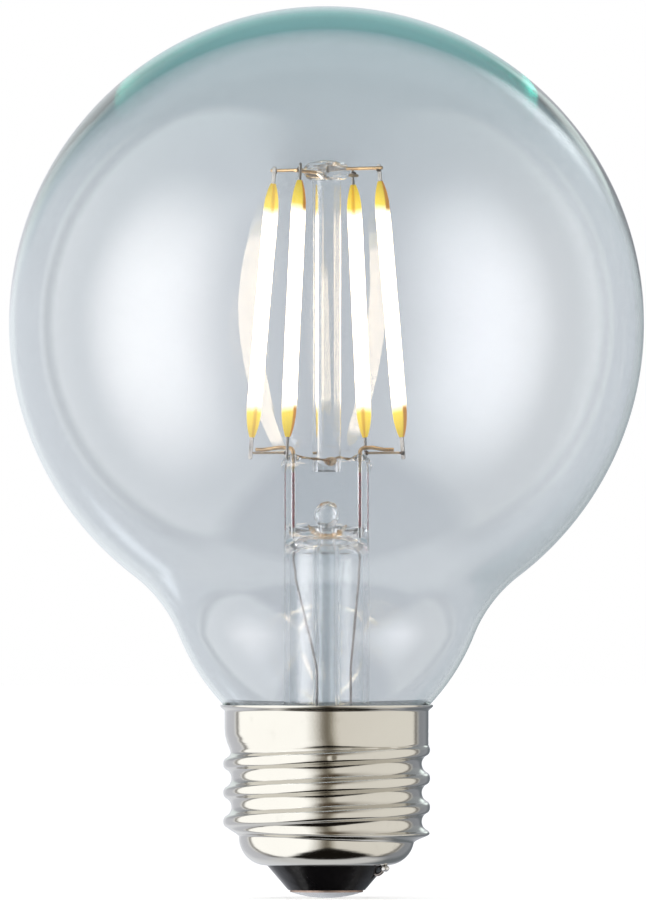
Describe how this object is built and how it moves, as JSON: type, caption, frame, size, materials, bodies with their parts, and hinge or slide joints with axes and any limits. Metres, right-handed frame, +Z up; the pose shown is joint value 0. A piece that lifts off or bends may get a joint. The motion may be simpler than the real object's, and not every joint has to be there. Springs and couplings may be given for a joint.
{
  "type": "globe bulb",
  "caption": "Clear glass globe bulb with a nickel-plated Edison screw cap, lit light filaments on a glass stem and wire anchors.",
  "frame": {"origin": "tip of the centre contact, on the bulb's axis", "axes": "+Z up the axis from the contact to the crown of the globe, +X to the right of someone facing it along +Y"},
  "size_m": [0.08, 0.08, 0.1124],
  "materials": {
    "clear_glass": "clear blown glass, faint blue grey, teal in thick stretches",
    "stem_glass": "clear glass",
    "nickel_wire": "drawn nickel wire",
    "seal_copper": "copper-clad seal wire seen red through the glass",
    "filament_coating": "yellow phosphor in silicone, lit white in the middle",
    "tab_metal": "rolled strip",
    "nickel_plate": "bright nickel plate",
    "black_glass": "glossy black glass",
    "contact_brass": "brass disc",
    "solder": "tin solder",
    "basing_cement": "baked cement",
    "board_laminate": "green laminate",
    "black_moulding": "moulded package with tinned legs",
    "capacitor_sleeve": "sleeved can",
    "resistor_lacquer": "lacquered body",
    "hookup_copper": "tinned copper wire"
  },
  "bodies": {
    "root": {"glass_globe": "clear_glass", "stem_flare": "stem_glass", "exhaust_tube": "stem_glass", "support_rod": "stem_glass", "anchor_wire_upper": "nickel_wire", "anchor_wire_lower": "nickel_wire", "cross_wire_left": "nickel_wire", "cross_wire_right": "nickel_wire", "inner_lead_left": "nickel_wire", "inner_lead_right": "nickel_wire", "outer_lead_left": "nickel_wire", "outer_lead_right": "nickel_wire", "seal_wire_left": "seal_copper", "seal_wire_right": "seal_copper", "led_filament_1": "filament_coating", "led_filament_2": "filament_coating", "led_filament_3": "filament_coating", "led_filament_4": "filament_coating", "top_tab_1": "tab_metal", "bottom_tab_1": "tab_metal", "top_tab_2": "tab_metal", "bottom_tab_2": "tab_metal", "top_tab_3": "tab_metal", "bottom_tab_3": "tab_metal", "top_tab_4": "tab_metal", "bottom_tab_4": "tab_metal", "screw_shell": "nickel_plate", "insulator": "black_glass", "centre_contact": "contact_brass", "contact_solder": "solder", "shell_solder": "solder", "basing_cement": "basing_cement", "driver_board": "board_laminate", "driver_chip": "black_moulding", "bridge_rectifier": "black_moulding", "smoothing_capacitor": "capacitor_sleeve", "fuse_resistor": "resistor_lacquer", "live_wire": "hookup_copper", "neutral_wire": "hookup_copper"}
  },
  "joints": []
}
